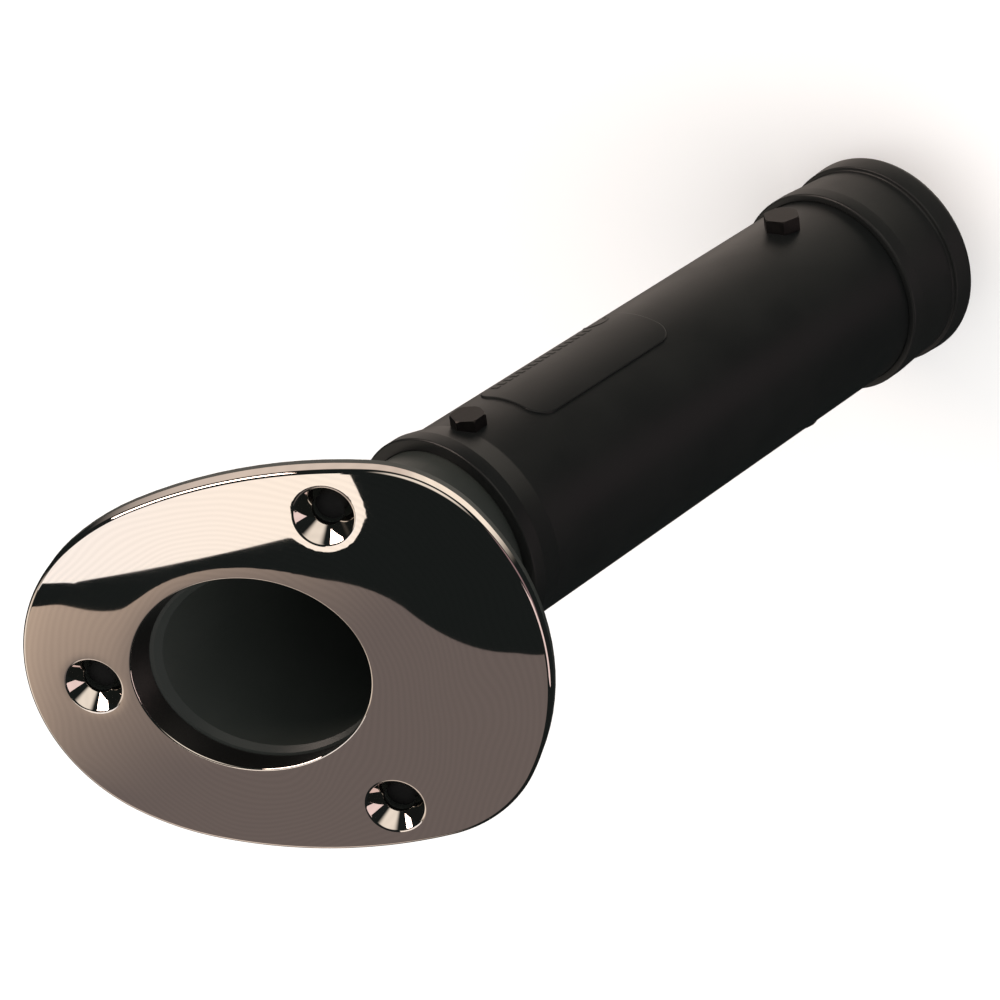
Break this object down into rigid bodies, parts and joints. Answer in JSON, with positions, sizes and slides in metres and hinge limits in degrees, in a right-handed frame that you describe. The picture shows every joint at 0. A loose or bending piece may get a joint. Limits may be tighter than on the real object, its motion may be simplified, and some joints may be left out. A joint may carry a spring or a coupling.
{
  "type": "rod holder",
  "caption": "Flush-mount fishing rod holder: domed mirror-polished deck flange with an oval mouth over a black tube that leans back below deck to a rounded end cap.",
  "frame": {"origin": "where the bore axis crosses the deck face, which is the gasket's underside and the plane the flange sits on", "axes": "+Z out of the deck, away from the tube; the tube leans towards +X as it goes down; the flange is symmetric about the XZ plane"},
  "size_m": [0.1849, 0.0878, 0.2084],
  "materials": {
    "polished_stainless": "mirror-polished stainless steel casting",
    "black_nylon": "black moulded nylon, low sheen",
    "black_barrel": "black moulded nylon, satin sheen",
    "black_cap": "black moulded nylon, satin sheen",
    "gasket_rubber": "matt black rubber",
    "black_steel": "black-coated steel"
  },
  "bodies": {
    "root": {"flange_cap": "polished_stainless", "holder_body": "black_nylon", "deck_gasket": "gasket_rubber", "outer_barrel": "black_barrel", "end_cap": "black_cap", "seal_ring": "gasket_rubber", "neck_screws": "black_steel", "gimbal_bolt": "black_steel", "gimbal_nut": "black_steel"}
  },
  "joints": []
}
